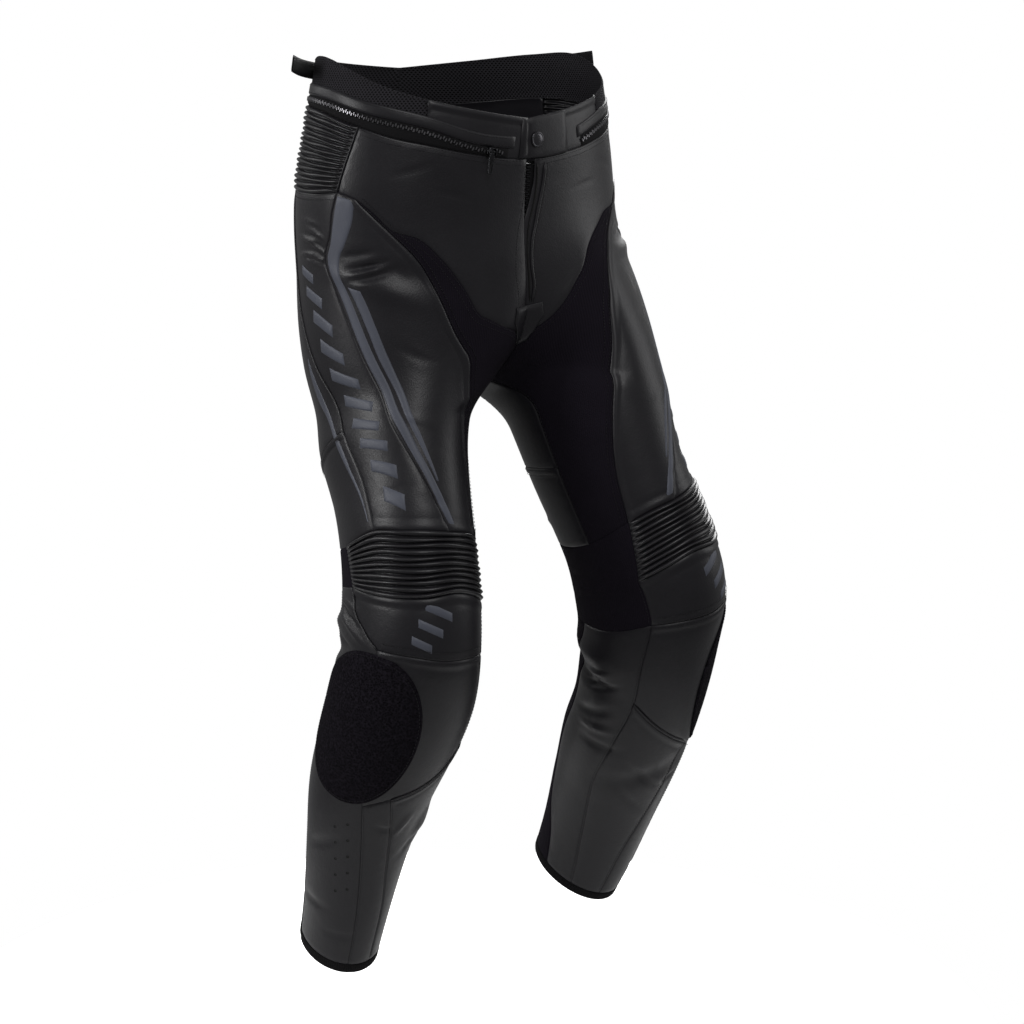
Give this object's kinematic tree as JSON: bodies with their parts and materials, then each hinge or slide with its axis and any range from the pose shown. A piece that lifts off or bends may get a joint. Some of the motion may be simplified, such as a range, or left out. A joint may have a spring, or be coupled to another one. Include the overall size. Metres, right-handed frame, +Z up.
{
  "type": "motorcycle leather pants",
  "caption": "Black leather motorcycle pants, filled out and standing, with stretch panels, ribbed hips and knees, armoured shins, knee slider patches and grey stripes.",
  "frame": {"origin": "centre of the waist opening, level with the top of the waistband's front and above the crotch", "axes": "+Z up through the waist, -Y towards the wearer's front, +X towards the wearer's left"},
  "size_m": [0.4346, 0.3616, 0.9701],
  "materials": {
    "leather_black": "smooth, soft sheen",
    "leather_grey": "smooth, soft sheen",
    "stretch_textile": "ribbed, matt",
    "mesh_fabric": "open mesh, matt",
    "loop_patch": "looped, matt",
    "knit_hem": "ribbed knit, matt",
    "zip_tape": "woven, matt",
    "webbing": "woven, matt",
    "dark_metal": "black plated, satin"
  },
  "bodies": {
    "pants": {"adjuster_strap_left": "webbing", "adjuster_strap_right": "webbing", "apron_left": "leather_black", "apron_right": "leather_black", "calf_gusset_left": "stretch_textile", "calf_gusset_right": "stretch_textile", "calf_inner_left": "leather_black", "calf_inner_right": "leather_black", "crotch_patch": "leather_black", "fly_tape": "zip_tape", "hem_band_left": "knit_hem", "hem_band_right": "knit_hem", "hip_ribs_left": "leather_black", "hip_ribs_right": "leather_black", "knee_armour_left": "leather_black", "knee_armour_right": "leather_black", "knee_back_left": "stretch_textile", "knee_back_right": "stretch_textile", "knee_ribs_left": "leather_black", "knee_ribs_right": "leather_black", "knee_top_left": "leather_black", "knee_top_right": "leather_black", "seat_left": "leather_black", "seat_right": "leather_black", "shin_front_left": "leather_black", "shin_front_right": "leather_black", "shin_inner_left": "leather_black", "shin_inner_right": "leather_black", "shin_outer_left": "leather_black", "shin_outer_right": "leather_black", "side_panel_left": "leather_black", "side_panel_right": "leather_black", "slider_patch_left": "loop_patch", "slider_patch_right": "loop_patch", "snap_button": "dark_metal", "stretch_front_left": "stretch_textile", "stretch_front_right": "stretch_textile", "stripe_one_left": "leather_grey", "stripe_one_right": "leather_grey", "stripe_two_left": "leather_grey", "stripe_two_right": "leather_grey", "thigh_back_left": "leather_black", "thigh_back_right": "leather_black", "thigh_front_left": "leather_black", "thigh_front_right": "leather_black", "waist_tab": "leather_black", "waistband_back": "mesh_fabric", "waistband_left": "leather_black", "waistband_right": "leather_black", "zip_flap_left": "leather_black", "zip_flap_right": "leather_black", "zip_slider": "dark_metal", "zip_tape_left": "zip_tape", "zip_tape_right": "zip_tape"},
    "pull_tab": {"zip_pull_tab": "dark_metal"}
  },
  "joints": [
    {"name": "pull_tab_hinge", "type": "hinge", "parent": "pants", "child": "pull_tab", "pos_m": [-0.04725, -0.11688, -0.0281], "axis": [-0.9808, 0.1278, 0.147], "range_deg": [0, 110]}
  ]
}
